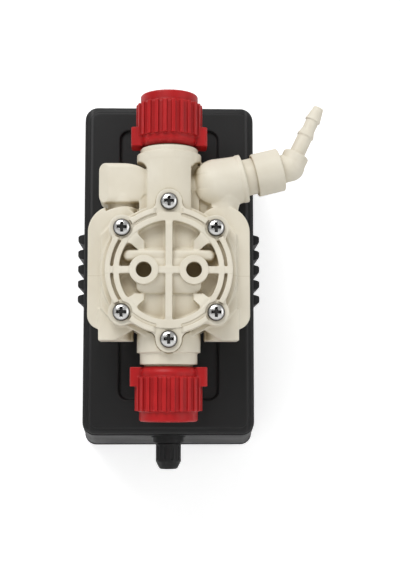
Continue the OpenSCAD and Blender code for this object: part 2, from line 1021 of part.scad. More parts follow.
// Thin web that joins the discharge column to the block and to the branch.
module column_web() {
    half_w = 22;
    web_front = 32;
    translate([-half_w, -case_d - web_front, 18])
        cube([2 * half_w, 10, 27]);
    translate([0, -case_d - web_front - 2, 18])
        cube([17.5, 10, 26]);
}

// Round branch at the top right, rising from a stub on the plate.
module bleed_branch() {
    lip_l = 2.6;
    on_branch() {
        translate([0, 0, -bulb_back])
            sphere(bulb_r);
        translate([0, 0, -bulb_back])
            cylinder(r1 = bulb_r, r2 = branch_r - 0.5, h = bulb_back - lip_l + overlap);
        translate([0, 0, -lip_l])
            cylinder(r = branch_r, h = lip_l);
        cylinder(r = bleed_thread_r, h = bleed_thread_l);
    }
    translate([side_port_x + 0.8, -case_d - axis_t, 20])
        rotate_extrude()
            polygon([[0, 0], [stub_r, 0], [stub_r, 11], [stub_r + 0.7, 14], [stub_r + 2.4, 17.5],
                [stub_r + 2.4, 21], [0, 21]]);
    translate([0, -case_d - axis_t, 44])
        rotate([0, 90, 0])
            cylinder(r = 8.5, h = 24);
}

// Discharge column with a hollow fillet up to its flange. Its front stays level with the flange.
module upper_column() {
    back_r = upper_col_r - 0.2;
    fillet_z = flange_top - 4.5;
    back_fillet = flange_r - back_r;
    arc = [for (a = [0 : 7.5 : 90])
        [flange_r - back_fillet * cos(a), fillet_z - back_fillet + back_fillet * sin(a)]];
    front_z = fillet_z - 0.4;
    front_fillet = flange_r - upper_col_r;
    intersection() {
        on_column(head_z)
            cylinder(r = flange_r - 0.1, h = flange_top - head_z - 1);
        on_lid()
            translate([0, 0, axis_t - 2])
                linear_extrude(40)
                    difference() {
                        translate([-flange_r - 1, head_z - 1])
                            square([2 * flange_r + 2, flange_top - head_z]);
                        for (side = [-1, 1]) {
                            translate([side * flange_r, front_z - front_fillet])
                                circle(front_fillet);
                            translate([side * (upper_col_r + 20) - 20, head_z - 2])
                                square([40, front_z - front_fillet - head_z + 2]);
                        }
                    }
    }
    on_column()
        rotate_extrude()
            polygon(concat([[0, head_z], [back_r, head_z]], arc,
                [[flange_r, flange_top], [neck_top_r, flange_top], [neck_top_r, neck_top],
                    [thread_r, neck_top], [thread_r, neck_top + thread_l],
                    [0, neck_top + thread_l]]));
}

module lower_column() {
    on_column()
        rotate_extrude()
            polygon([[0, head_z], [lower_col_r, head_z], [lower_col_r, lower_end],
                [neck_low_r, lower_end], [neck_low_r, neck_low], [thread_r, neck_low],
                [thread_r, neck_low - thread_l], [0, neck_low - thread_l]]);
}

// Everything bored out of the head: chamber, passages, valve seats' bores, ports and screws.
module head_bores() {
    on_head() {
        translate([0, 0, backplate_front - 30])
            cylinder(r = 60, h = 30);
        translate([0, 0, backplate_front - overlap])
            cylinder(r = diaphragm_r + seat_gap, h = diaphragm_t + overlap);
        translate([0, 0, head_back - overlap])
            cylinder(r1 = chamber_r, r2 = chamber_r - 6, h = chamber_h + overlap);
        for (y = [-port_offset, port_offset])
            translate([0, y, head_back])
                cylinder(r = side_passage_r, h = axis_t - head_back + passage_r);
        translate([0, 0, backplate_front - overlap])
            at_corners()
                cylinder(r = screw_r + seat_gap, h = step_front);
        translate([0, 0, end_tip - 0.5])
            at_ends()
                cylinder(r = screw_r + seat_gap, h = step_front - end_tip + 1);
        translate([0, 0, step_front])
            linear_extrude(20)
                lobed_disc(cover_r + slide_gap);
    }
    on_column(head_z + port_offset - passage_r)
        cylinder(r = passage_r, h = 100);
    on_column(neck_top + thread_l - cartridge_bore_l)
        cylinder(r = cartridge_r + seat_gap, h = cartridge_bore_l + overlap);
    on_column(head_z - port_offset + passage_r - 100)
        cylinder(r = passage_r, h = 100);
    on_column(neck_low - thread_l - overlap)
        cylinder(r = cartridge_r + seat_gap, h = cartridge_bore_l + overlap);
    for (x = [-side_port_x, side_port_x])
        translate([x, -case_d - axis_t, side_port_low - overlap])
            cylinder(r = side_port_r, h = side_port_l + overlap);
    on_branch() {
        translate([0, 0, bleed_thread_l - bleed_bore_l])
            cylinder(r = bleed_bore_r, h = bleed_bore_l + overlap);
        translate([0, 0, -bulb_back])
            cylinder(r = bleed_seat_r, h = bulb_back + bleed_thread_l);
    }
    translate([0, -case_d - axis_t, branch_z - bulb_back * sin(branch_angle)])
        rotate([0, 90, 0])
            cylinder(r = side_passage_r, h = branch_x - bulb_back * cos(branch_angle) + 2);
}

module pump_head() {
    color(cream)
        difference() {
            union() {
                on_head() {
                    cylinder(r = step_r, h = core_flange);
                    cylinder(r = drum_r, h = drum_front + overlap);
                    at_corners()
                        cylinder(r = lobe_r, h = step_front - overlap);
                    translate([0, 0, drum_front])
                        linear_extrude(plate_front - drum_front)
                            plate_outline();
                    translate([0, 0, plate_front - overlap])
                        linear_extrude(step_front - plate_front + overlap)
                            lobed_disc(step_r);
                    translate([0, 0, plate_front - overlap])
                        linear_extrude(plate_pad + overlap)
                            pad_outline();
                }
                for (side = [0, 1])
                    mirror([side, 0, 0])
                        side_port_block();
                upper_column();
                lower_column();
                column_web();
                left_block();
                bleed_branch();
            }
            head_bores();
        }
}

// Front cover: rim, inner ring, spokes, braces, barrel and two socket bosses on one disc.
module head_cover() {
    floor_front = step_front + 2.2;
    ring_front = cover_front - 0.8;
    spoke_w = 4;
    boss_r_out = 8.2;
    screw_bay_r = 6;
    color(cream)
        on_head()
            difference() {
                union() {
                    difference() {
                        union() {
                            translate([0, 0, step_front])
                                linear_extrude(lobe_front - step_front)
                                    lobed_disc(cover_r);
                            translate([0, 0, floor_front])
                                cylinder(r = cover_r - 0.15, h = cover_front - floor_front);
                        }
                        translate([0, 0, floor_front])
                            cylinder(r = rim_inner_r, h = 20);
                        translate([-slot_half, -cover_r - 1, lobe_front])
                            cube([2 * slot_half, 2 * cover_r + 2, 5]);
                    }
                    translate([0, 0, step_front]) {
                        at_corners()
                            cylinder(r = lobe_r - 0.2, h = lobe_front - step_front);
                        tube(rim_inner_r + overlap, ring_outer_r - overlap, 6);
                        tube(ring_outer_r, ring_inner_r, ring_front - step_front);
                    }
                    translate([0, 0, step_front])
                        linear_extrude(ring_front - step_front)
                            intersection() {
                                difference() {
                                    circle(rim_inner_r + 0.9);
                                    circle(ring_outer_r - overlap);
                                }
                                translate([-slot_half, -cover_r])
                                    square([2 * slot_half, 2 * cover_r]);
                            }
                    cover_barrel();
                    for (side = [0, 1], a = [screw_angle, -screw_angle])
                        mirror([side, 0, 0])
                            rotate(a)
                                cover_brace(ring_front - 0.3);
                    translate([-spoke_w / 2, -ring_outer_r + 1, step_front])
                        cube([spoke_w, 2 * ring_outer_r - 2, cover_front - step_front - 0.4]);
                    translate([-rim_inner_r - 1, -spoke_w / 2, step_front])
                        cube([2 * rim_inner_r + 2, spoke_w, cover_front - step_front - 0.2]);
                    for (x = [-socket_x, socket_x])
                        translate([x, 0, step_front])
                            cylinder(r = boss_r_out, h = cover_front - step_front + 0.6);
                }
                for (x = [-socket_x, socket_x])
                    translate([x, 0, cover_front + 0.6 - socket_l])
                        cylinder(r = socket_r, h = socket_l + overlap);
                translate([0, 0, step_front - overlap]) {
                    at_corners()
                        cylinder(r = screw_r + seat_gap, h = lobe_front);
                    at_ends()
                        cylinder(r = screw_r + seat_gap, h = lobe_front);
                }
                translate([0, 0, lobe_front])
                    at_corners()
                        cylinder(r = screw_bay_r, h = 5);
            }
}

// Slanting brace between the ring and the barrel, on the line to a corner screw.
module cover_brace(front) {
    inner_x = 20;
    inner_half = 2.9;
    outer_half = 3.3;
    translate([0, 0, step_front])
        linear_extrude(front - step_front) {
            translate([inner_x, 0])
                circle(inner_half);
            polygon([[inner_x, -inner_half], [ring_inner_r + 1, -outer_half],
                [ring_inner_r + 1, outer_half], [inner_x, inner_half]]);
        }
}

// Arched barrel across the cover, with a round bar along its upper edge.
module cover_barrel() {
    half_l = 19;
    half_h = 12;
    arch_r = 15.7;
    arch_front = 48;
    bar_y = 8.85;
    bar_r = 2.4;
    bar_front = 46.4;
    bar_half = ring_inner_r - 4.3;
    intersection() {
        translate([0, 0, step_front])
            linear_extrude(arch_front)
                centred_rect(2 * half_l, 2 * half_h, 6);
        translate([-half_l - 1, 0, arch_front - arch_r])
            rotate([0, 90, 0])
                cylinder(r = arch_r, h = 2 * half_l + 2);
    }
    translate([-bar_half, bar_y, bar_front - bar_r])
        rotate([0, 90, 0])
            cylinder(r = bar_r, h = 2 * bar_half);
    for (x = [-bar_half, bar_half])
        translate([x, bar_y, bar_front - bar_r])
            sphere(bar_r);
}

// A cross recess cut into a screw head, from z = 0 upwards.
module cross_slot(span, depth) {
    for (a = [0, 90])
        rotate(a)
            translate([-span / 2, -0.55, 0])
                cube([span, 1.1, depth + overlap]);
}

// A pan head of radius r and height h: a cylinder rounded over by a sphere.
module pan_head(r, h) {
    dome_r = (r * r + h * h) / (2 * h) * 1.25;
    intersection() {
        cylinder(r = r, h = h);
        translate([0, 0, h - dome_r])
            sphere(dome_r);
    }
}

// One cross-recess screw, its tip at a depth and its head on the lobe.
module pan_screw(tip) {
    translate([0, 0, tip])
        cylinder(r = screw_r, h = lobe_front - tip + overlap);
    translate([0, 0, lobe_front])
        difference() {
            pan_head(screw_head_r, screw_head_h);
            translate([0, 0, screw_head_h - 1.6])
                cross_slot(5.4, 2);
        }
}

module head_screws() {
    color(steel)
        on_head() {
            at_corners()
                pan_screw(2 - chamber_front - boss_reach);
            at_ends()
                pan_screw(end_tip);
        }
}

// Valves: a cartridge holds two balls, each on a seat, and stands in the column's bore.
// Everything is drawn upwards from the cartridge's lower end.

function seat_level(stage) = stage * stage_l + 2;
seat_hole_r = 2.8;
ball_rest = sqrt(ball_r * ball_r - seat_hole_r * seat_hole_r) + 0.1;
cage_r = ball_r + 0.6;

module cartridge() {
    color("whitesmoke")
        difference() {
            cylinder(r = cartridge_r, h = cartridge_l);
            for (stage = [0, 1]) {
                translate([0, 0, stage * stage_l - overlap])
                    cylinder(r = cage_r, h = seat_level(0) + ball_rest + ball_r + ball_lift + 0.3);
                translate([0, 0, stage * stage_l - overlap])
                    cylinder(r = 2, h = stage_l + 2 * overlap);
                translate([0, 0, stage * stage_l - overlap])
                    cylinder(r = cage_r + 2, h = 2 + overlap);
            }
        }
}

module valve_seats() {
    color("dimgray")
        for (stage = [0, 1])
            translate([0, 0, stage * stage_l])
                tube(cage_r + 2 - seat_gap, seat_hole_r, 2 - seat_gap);
}

module check_ball(stage) {
    color("white")
        translate([0, 0, seat_level(stage) + ball_rest])
            sphere(ball_r);
}

module on_suction_valve() {
    on_column(neck_low - thread_l + 0.6)
        children();
}

module on_discharge_valve() {
    on_column(neck_top + thread_l - cartridge_l - 0.6)
        children();
}

module suction_cartridge() {
    on_suction_valve()
        cartridge();
}

module suction_seats() {
    on_suction_valve()
        valve_seats();
}

module suction_lower_ball() {
    on_suction_valve()
        check_ball(0);
}

module suction_upper_ball() {
    on_suction_valve()
        check_ball(1);
}

module discharge_cartridge() {
    on_discharge_valve()
        cartridge();
}

module discharge_seats() {
    on_discharge_valve()
        valve_seats();
}

module discharge_lower_ball() {
    on_discharge_valve()
        check_ball(0);
}

module discharge_upper_ball() {
    on_discharge_valve()
        check_ball(1);
}

// Union fittings, drawn outwards from the end of the neck under the nut.

module on_discharge() {
    on_column(neck_top)
        children();
}

module on_suction() {
    on_column(neck_low)
        rotate([180, 0, 0])
            children();
}

// A rubber ring let into the connector's face.
module face_o_ring() {
    color("black")
        translate([0, 0, thread_l + seat_gap + 0.9])
            ring(connector_flange_r - 2.3, 0.8);
}

module connector() {
    color("whitesmoke")
        difference() {
            union() {
                translate([0, 0, thread_l + seat_gap])
                    cylinder(r = connector_flange_r, h = connector_flange_l);
                translate([0, 0, thread_l + seat_gap])
                    cylinder(r = connector_r, h = neck_to_nut + nut_l - thread_l - 0.4);
            }
            translate([0, 0, thread_l])
                tube(connector_flange_r - 1.2, connector_flange_r - 3.4, 1.8);
            translate([0, 0, thread_l - overlap])
                cylinder(r = 4, h = 40);
            translate([0, 0, neck_to_nut + nut_l - 0.3 - pipe_l])
                cylinder(r = pipe_r, h = pipe_l + overlap);
        }
}

// One union nut: rounded collar, ribbed grip, plain end ring and two lugs.
module union_nut() {
    collar_r = nut_r - 2.1;
    tip_r = thread_r + 0.9;
    grip_r = nut_r - 1.2;
    end_r = nut_r - 2.6;
    lug_half = 7.65;
    rib_w = 2.2;
    color(nut_red)
        translate([0, 0, neck_to_nut])
            difference() {
                union() {
                    rotate_extrude()
                        polygon([[0, 0], [tip_r, 0], [collar_r - 0.6, 1.8], [collar_r, 3.2],
                            [collar_r, collar_l], [grip_r, collar_l + 0.6],
                            [grip_r, collar_l + grip_l - 1], [grip_r - 0.6, collar_l + grip_l],
                            [end_r, collar_l + grip_l], [end_r, nut_l - 0.8],
                            [end_r - 0.8, nut_l], [0, nut_l]]);
                    for (i = [0 : rib_count - 1])
                        rotate((i + 0.5) * 360 / rib_count)
                            translate([thread_r + 1, -rib_w / 2, collar_l + 0.3])
                                cube([nut_r - thread_r - 1, rib_w, grip_l - 0.6]);
                    for (a = [0, 180])
                        rotate(a)
                            translate([0, 0, 0.4])
                                linear_extrude(10.9)
                                    round_rect(thread_r + 0.6, lug_r, -lug_half, lug_half, 2.2);
                }
                translate([0, 0, -overlap])
                    cylinder(r = thread_r + slide_gap, h = nut_shoulder - neck_to_nut + overlap);
                translate([0, 0, -overlap])
                    cylinder(r = connector_r + slide_gap, h = nut_l + 2 * overlap);
            }
}

module discharge_o_ring() {
    on_discharge()
        face_o_ring();
}

module discharge_connector() {
    on_discharge()
        connector();
}

module discharge_nut() {
    on_discharge()
        union_nut();
}

module suction_o_ring() {
    on_suction()
        face_o_ring();
}

module suction_connector() {
    on_suction()
        connector();
}

module suction_nut() {
    on_suction()
        union_nut();
}

// Bleed valve, drawn outwards along the branch.

module bleed_stem() {
    groove_at = 5;
    color("whitesmoke")
        on_branch()
            difference() {
                union() {
                    translate([0, 0, bleed_thread_l + 0.3])
                        cylinder(r = bleed_thread_r - 0.4, h = bleed_flange_l);
                    translate([0, 0, 3.5])
                        cylinder(r = bleed_bore_r - slide_gap, h = bleed_thread_l - 3);
                    translate([0, 0, bleed_thread_l - bleed_bore_l + 0.1])
                        cylinder(r1 = bleed_seat_r + 0.6, r2 = 4, h = 1.5);
                }
                translate([0, 0, groove_at - 0.7])
                    tube(bleed_bore_r + 1, bleed_bore_r - 1.4, 1.4);
                translate([0, 0, groove_at + 2])
                    cylinder(r = tail_bore_r, h = 20);
            }
}

module bleed_o_ring() {
    color("black")
        on_branch()
            translate([0, 0, 5])
                ring(bleed_bore_r - 0.75, 0.62);
}

module bleed_nut() {
    color(cream)
        on_branch()
            translate([0, 0, bleed_gap])
                difference() {
                    rotate_extrude()
                        polygon([[0, 0], [bleed_nut_r - 0.5, 0], [bleed_nut_r, 0.5],
                            [bleed_nut_r, bleed_nut_l - 0.6], [bleed_nut_r - 0.6, bleed_nut_l],
                            [0, bleed_nut_l]]);
                    translate([0, 0, -overlap])
                        cylinder(r = bleed_thread_r + slide_gap, h = nut_wall - bleed_gap + overlap);
                    translate([0, 0, -overlap])
                        cylinder(r = elbow_r + slide_gap, h = bleed_nut_l + 2 * overlap);
                }
}

// Hose tail with two barbs, drawn outwards from the elbow's corner.
module hose_tail() {
    shank_r = 3.9;
    rotate_extrude()
        polygon([[0, 0], [tail_shoulder_r, 0], [tail_shoulder_r, tail_start - 0.8],
            [tail_shoulder_r - 0.8, tail_start], [4.6, tail_start],
            [4.5, tail_start + 0.36 * tail_l], [5.15, tail_start + 0.39 * tail_l],
            [4.9, tail_start + 0.42 * tail_l], [shank_r, tail_start + 0.52 * tail_l],
            [shank_r, tail_start + 0.70 * tail_l], [4.7, tail_start + 0.72 * tail_l],
            [4.5, tail_start + 0.75 * tail_l], [3, tail_start + tail_l],
            [0, tail_start + tail_l]]);
}

module bleed_elbow() {
    color(cream)
        on_branch()
            difference() {
                union() {
                    translate([0, 0, elbow_base])
                        cylinder(r = bleed_thread_r - 0.3, h = elbow_flange_l);
                    translate([0, 0, elbow_base])
                        cylinder(r = elbow_r, h = elbow_corner - elbow_base);
                    translate([0, 0, elbow_corner])
                        sphere(elbow_r);
                    translate([0, 0, elbow_corner])
                        rotate([0, -tail_angle, 0])
                            hose_tail();
                }
                translate([0, 0, elbow_base - overlap])
                    cylinder(r = tail_bore_r, h = elbow_corner - elbow_base + overlap);
                translate([0, 0, elbow_corner])
                    sphere(tail_bore_r);
                translate([0, 0, elbow_corner])
                    rotate([0, -tail_angle, 0])
                        cylinder(r = tail_bore_r, h = tail_start + tail_l + overlap);
            }
}

front_lid();
lid_seal();
housing_shell();
rear_cover();
rear_cover_seal();
rear_cover_screws();
wall_inserts();
control_board();
terminal_block();
gland_body();
gland_seal();
gland_nut();
solenoid_yoke();
solenoid_end_cap();
coil_bobbin();
solenoid_coil();
pole_piece();
front_bush();
rear_bush();
rear_stop();
armature();
drive_rod();
return_spring();
diaphragm_core();
diaphragm();
head_backplate();
pump_head();
head_cover();
head_screws();
suction_cartridge();
suction_seats();
suction_lower_ball();
suction_upper_ball();
suction_o_ring();
suction_connector();
suction_nut();
discharge_cartridge();
discharge_seats();
discharge_lower_ball();
discharge_upper_ball();
discharge_o_ring();
discharge_connector();
discharge_nut();
bleed_stem();
bleed_o_ring();
bleed_nut();
bleed_elbow();
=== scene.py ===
import json
import math

import bmesh
import bpy
from mathutils import Matrix, Vector


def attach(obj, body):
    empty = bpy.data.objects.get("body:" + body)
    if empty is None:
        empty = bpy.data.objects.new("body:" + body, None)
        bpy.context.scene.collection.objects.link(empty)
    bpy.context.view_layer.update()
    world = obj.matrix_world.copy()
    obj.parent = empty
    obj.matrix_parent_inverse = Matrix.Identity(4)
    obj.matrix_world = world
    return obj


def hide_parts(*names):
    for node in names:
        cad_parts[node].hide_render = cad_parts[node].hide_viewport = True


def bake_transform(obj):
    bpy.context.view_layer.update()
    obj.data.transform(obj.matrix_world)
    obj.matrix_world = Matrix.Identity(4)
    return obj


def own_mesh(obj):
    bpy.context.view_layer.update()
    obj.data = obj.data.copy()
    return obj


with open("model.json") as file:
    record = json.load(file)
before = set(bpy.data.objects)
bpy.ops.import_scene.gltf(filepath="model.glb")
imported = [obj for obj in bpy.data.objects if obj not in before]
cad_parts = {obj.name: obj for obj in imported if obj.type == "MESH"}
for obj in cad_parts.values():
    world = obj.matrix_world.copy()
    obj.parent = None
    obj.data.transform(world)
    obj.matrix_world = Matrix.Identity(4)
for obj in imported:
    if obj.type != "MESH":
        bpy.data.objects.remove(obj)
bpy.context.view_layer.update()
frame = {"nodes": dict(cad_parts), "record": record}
scene = bpy.context.scene
collection = scene.collection

# Camera: straight at the pump from a little below its middle, tipped up a few degrees, with a
# moderate portrait lens. The long side of the frame carries the sensor.
VIEW_FROM = Vector((0.0, -0.750, -0.0717))
TILT_UP = math.radians(5.5)
TURN_RIGHT = math.radians(1.68)
LENS_MM = 67.4
SENSOR_MM = 36.0
camera = bpy.data.objects.new("camera", bpy.data.cameras.new("camera"))
collection.objects.link(camera)
camera.data.lens = LENS_MM
camera.data.sensor_width = SENSOR_MM
camera.data.clip_start = 0.05
camera.location = VIEW_FROM
camera.rotation_euler = (math.radians(90) + TILT_UP, 0.0, -TURN_RIGHT)
scene.camera = camera

# Wall and floor: the pump hangs on a white board with a white floor well below it. The boards are
# matt, so they take the soft shadow, are lifted towards white for the camera alone, and are
# see-through from behind, so that the back can be seen.
WALL_Y = 0.0006
FLOOR_Z = -0.34
REACH = 1.6
FLOOR_FRONT_Y = -2.4
BOARD_LIFT = 0.51


class Wire:
    """One value inside a material. Python's operators lay down the Math nodes."""

    def __init__(self, finish, socket):
        self.finish = finish
        self.socket = socket

    def maths(self, operation, other):
        return self.finish.node("ShaderNodeMath", {"operation": operation}, {0: self, 1: other})

    def __add__(self, other):
        return self.maths("ADD", other)

    def __sub__(self, other):
        return self.maths("SUBTRACT", other)

    def __mul__(self, other):
        return self.maths("MULTIPLY", other)

    def __rsub__(self, other):
        return self * -1.0 + other

    def __abs__(self):
        return self.maths("ABSOLUTE", 0.0)

    __radd__ = __add__
    __rmul__ = __mul__


class Finish:
    """A material being mixed. Given a node tree, such as the world's, it mixes in that instead."""

    def __init__(self, name, tree=None):
        if tree is None:
            self.material = bpy.data.materials.new(name)
            self.material.use_nodes = True
            tree = self.material.node_tree
        self.tree = tree
        self.tree.nodes.clear()

    def node(self, kind, settings=None, inputs=None, output=0):
        """Makes one node, sets it, joins its inputs, and gives the wire of one output if any."""
        made = self.tree.nodes.new(kind)
        for name, value in (settings or {}).items():
            setattr(made, name, value)
        for name, value in (inputs or {}).items():
            socket = made.inputs[name]
            if isinstance(value, Wire):
                self.tree.links.new(value.socket, socket)
            elif isinstance(value, tuple) and len(value) == 3 and socket.type == "RGBA":
                socket.default_value = (*value, 1.0)
            else:
                socket.default_value = value
        return Wire(self, made.outputs[output]) if made.outputs else None

    def axis(self, letter, coordinate="Object"):
        """One coordinate of the shaded point, or of its normal, in the object's own frame."""
        where = self.node("ShaderNodeTexCoord", output=coordinate)
        return self.node("ShaderNodeSeparateXYZ", {}, {0: where}, output=letter)

    def noise(self, scale, detail, stretch=(1.0, 1.0, 1.0), roughness=0.5):
        """A noise that is fixed to the object, drawn out along an axis where stretch is small."""
        where = self.node("ShaderNodeTexCoord", output="Object")
        if stretch != (1.0, 1.0, 1.0):
            where = self.node("ShaderNodeMapping", {}, {"Vector": where, "Scale": stretch})
        return self.node("ShaderNodeTexNoise", {},
                         {"Vector": where, "Scale": scale, "Detail": detail,
                          "Roughness": roughness})

    def grade(self, value, low, high, to_low=0.0, to_high=1.0):
        """The value carried from the range low..high to the range to_low..to_high."""
        return self.node("ShaderNodeMapRange", {"clamp": True},
                         {"Value": value, "From Min": low, "From Max": high,
                          "To Min": to_low, "To Max": to_high})

    def line(self, value, centre, half, soft):
        """1 where the value is within half of the centre, fading to 0 over soft."""
        return self.grade(abs(value - centre), half, half + soft, 1.0, 0.0)

    def mix(self, share, first, second):
        return self.node("ShaderNodeMix", {"data_type": "RGBA"},
                         {0: share, 6: first, 7: second}, output=2)

    def edges(self):
        """Above 0.5 on edges that stick out, below it in hollows."""
        return self.node("ShaderNodeNewGeometry", output="Pointiness")

    def crevice(self, reach):
        """1 in the open, less where something stands within reach."""
        return self.node("ShaderNodeAmbientOcclusion", {"samples": 8},
                         {"Distance": reach}, output="AO")

    def bump(self, height, depth):
        return self.node("ShaderNodeBump", {},
                         {"Height": height, "Distance": depth, "Strength": 1.0})

    def end(self, surface):
        self.node("ShaderNodeOutputMaterial", {}, {"Surface": surface})
        return self.material

    def surface(self, **inputs):
        names = {name.replace("_", " "): value for name, value in inputs.items()}
        return self.end(self.node("ShaderNodeBsdfPrincipled", {}, names))


def mesh_of(shell, name):
    """The finished bmesh as a mesh."""
    mesh = bpy.data.meshes.new(name)
    shell.to_mesh(mesh)
    shell.free()
    return mesh


def coat(thing, material):
    """Gives a piece or a CAD node its finish."""
    thing.data.materials.clear()
    thing.data.materials.append(material)


def flat_board(name, *corners):
    board = bmesh.new()
    board.faces.new([board.verts.new(corner) for corner in corners])
    thing = bpy.data.objects.new(name, mesh_of(board, name))
    collection.objects.link(thing)
    coat(thing, board_paint)


paint = Finish("board_paint")
seen = paint.node("ShaderNodeLightPath", output="Is Camera Ray")
lift = paint.node("ShaderNodeEmission", {},
                  {"Color": (1.0, 1.0, 1.0), "Strength": seen * BOARD_LIFT})
matt = paint.node("ShaderNodeBsdfDiffuse", {}, {"Color": (0.86, 0.86, 0.86)})
lit = paint.node("ShaderNodeAddShader", {}, {0: matt, 1: lift})
behind = paint.node("ShaderNodeNewGeometry", output="Backfacing")
clear = paint.node("ShaderNodeBsdfTransparent")
board_paint = paint.end(paint.node("ShaderNodeMixShader", {}, {0: behind, 1: lit, 2: clear}))
flat_board("wall_board", (-REACH, WALL_Y, FLOOR_Z), (REACH, WALL_Y, FLOOR_Z),
           (REACH, WALL_Y, REACH), (-REACH, WALL_Y, REACH))
flat_board("floor_board", (-REACH, FLOOR_FRONT_Y, FLOOR_Z), (REACH, FLOOR_FRONT_Y, FLOOR_Z),
           (REACH, WALL_Y, FLOOR_Z), (-REACH, WALL_Y, FLOOR_Z))

# Studio light: one large soft window high on the left, a weak one on the right, and a pale room
# that shows as plain white to the camera.
AIM = Vector((0.0, -0.12, 0.0))
ROOM_LIGHT = 0.40
ROOM_SEEN = 1.0


def soft_window(name, place, size, power):
    lamp = bpy.data.lights.new(name, "AREA")
    lamp.shape = "RECTANGLE"
    lamp.size, lamp.size_y = size
    lamp.energy = power
    thing = bpy.data.objects.new(name, lamp)
    collection.objects.link(thing)
    thing.location = place
    thing.rotation_euler = (AIM - Vector(place)).to_track_quat("-Z", "Y").to_euler()


soft_window("key_window", (-0.50, -1.20, 1.15), (1.1, 0.8), 16.0)
soft_window("fill_window", (1.2, -1.0, 0.2), (0.8, 1.0), 3.0)
world = bpy.data.worlds.new("room")
world.use_nodes = True
scene.world = world
room = Finish("room", world.node_tree)
to_camera = room.node("ShaderNodeLightPath", output="Is Camera Ray")
strength = room.node("ShaderNodeMix", {"data_type": "FLOAT"},
                     {0: to_camera, 2: ROOM_LIGHT, 3: ROOM_SEEN})
backdrop = room.node("ShaderNodeBackground", {},
                     {"Color": (1.0, 1.0, 1.0), "Strength": strength})
room.node("ShaderNodeOutputWorld", {}, {"Surface": backdrop})
scene.view_settings.view_transform = "Standard"

# The case: a moulded black lid on a flared housing with cooling fins. The plastic is
# spark-grained, so it is dull with a fine tooth. Edges that stick out are painted lighter as a
# highlight, and a painted highlight line runs along the lid's long edges.
EDGE_X, EDGE_HALF, EDGE_SOFT = 0.0470, 0.0003, 0.0008
EDGE_Y = (-0.1060, -0.1040)
EDGE_Z = (-0.09, 0.06)
grain = Finish("case_plastic")
tooth = grain.noise(2600.0, 3.0)
cloud = grain.noise(22.0, 4.0)
scuffs = grain.noise(160.0, 6.0, (1.0, 1.0, 0.25), 0.7)
black = grain.mix(grain.grade(cloud, 0.35, 0.7), (0.0055, 0.0055, 0.0058),
                  (0.0090, 0.0090, 0.0093))
black = grain.mix(grain.grade(scuffs, 0.62, 0.9) * 0.25, black, (0.030, 0.030, 0.031))
# Painted highlight: edges that stick out are painted lighter.
black = grain.mix(grain.grade(grain.edges(), 0.52, 0.62) * 0.35, black, (0.050, 0.050, 0.051))
# Painted highlight: a thin line of light is painted along the lid's long edges, weaker towards the
# bottom.
sheen = grain.line(abs(grain.axis("X")), EDGE_X, EDGE_HALF, EDGE_SOFT)
sheen = sheen * grain.grade(grain.axis("Y"), *EDGE_Y, 1.0, 0.0)
sheen = sheen * grain.grade(grain.axis("Z"), *EDGE_Z, 0.25, 1.0)
black = grain.mix(sheen * 0.5, black, (0.065, 0.065, 0.066))
case_plastic = grain.surface(
    Base_Color=black, Roughness=grain.grade(cloud, 0.3, 0.75, 0.44, 0.56),
    Normal=grain.bump(tooth, 0.00006), Specular_IOR_Level=0.36)

FIN_MIDDLE = -0.0019
FIN_PITCH = 0.0092
FIN_ROWS = [FIN_MIDDLE + row * FIN_PITCH for row in (-2, -1, 0, 1, 2)]
FIN_X = 0.0500
FIN_FRONT_Y = -0.1095
FIN_REACH = 0.0032
FIN_HALF = 0.00305
FIN_LIFT = 0.0026
FULLER_BELOW, FULLER_ABOVE = 1.35, 1.05
CREASE = math.radians(28.0)
WELD = 0.000004
MOST_TRIANGLES = 190000


def new_piece(name, mesh, material, node):
    """Puts a finished mesh into the scene in place of a CAD node."""
    thing = bpy.data.objects.new(name, mesh)
    collection.objects.link(thing)
    coat(thing, material)
    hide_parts(node)
    return thing


def add_piece(name, mesh, material, body, node):
    """A new piece that moves with a body."""
    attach(new_piece(name, mesh, material, node), body)


def merged(node):
    """A CAD node's shape as one closed shell, with its loose triangles joined."""
    shell = bmesh.new()
    shell.from_mesh(frame["nodes"][node].data)
    bmesh.ops.remove_doubles(shell, verts=shell.verts, dist=WELD)
    return shell


def finished(mesh, *modifiers):
    """The mesh with these modifiers applied, smooth shaded."""
    thing = bpy.data.objects.new("work", mesh)
    collection.objects.link(thing)
    for kind, settings in modifiers:
        modifier = thing.modifiers.new(kind.lower(), kind)
        for name, value in settings.items():
            setattr(modifier, name, value)
    state = bpy.context.evaluated_depsgraph_get()
    result = bpy.data.meshes.new_from_object(thing.evaluated_get(state))
    bpy.data.objects.remove(thing)
    result.polygons.foreach_set("use_smooth", [True] * len(result.polygons))
    return result


def moulded(node, grid, rounds, form=None, fill=()):
    """A CAD solid with the soft edges of a moulding: remeshed on an even grid and relaxed. The
    boxes in fill are joined to it first, and form moves each point of the grid."""
    shell = merged(node)
    for low, high in fill:
        for vert in bmesh.ops.create_cube(shell, size=1.0)["verts"]:
            vert.co = [b if c > 0.0 else a for a, b, c in zip(low, high, vert.co)]
    soft = finished(mesh_of(shell, node), ("REMESH", {"mode": "VOXEL", "voxel_size": grid}))
    if form is not None:
        for vertex in soft.vertices:
            vertex.co = form(vertex.co)
    soft = finished(soft, ("SMOOTH", {"factor": 0.5, "iterations": rounds}))
    triangles = sum(len(face.vertices) - 2 for face in soft.polygons)
    if triangles > MOST_TRIANGLES:
        soft = finished(soft, ("DECIMATE", {"ratio": MOST_TRIANGLES / triangles}))
    return soft


def fin_form(shell):
    """Full, flat-topped fins: their undersides are rounded out and they stand a little higher."""
    for vertex in shell.verts:
        co = vertex.co
        if abs(co.x) <= FIN_X or co.y <= FIN_FRONT_Y:
            continue
        if not FIN_ROWS[0] - FIN_REACH < co.z < FIN_ROWS[-1] + FIN_REACH:
            continue
        row = min(FIN_ROWS, key=lambda z: abs(z - co.z))
        off = co.z - row
        if abs(off) < FIN_HALF:
            co.z = row + FIN_LIFT + off * (FULLER_BELOW if off < 0.0 else FULLER_ABOVE)


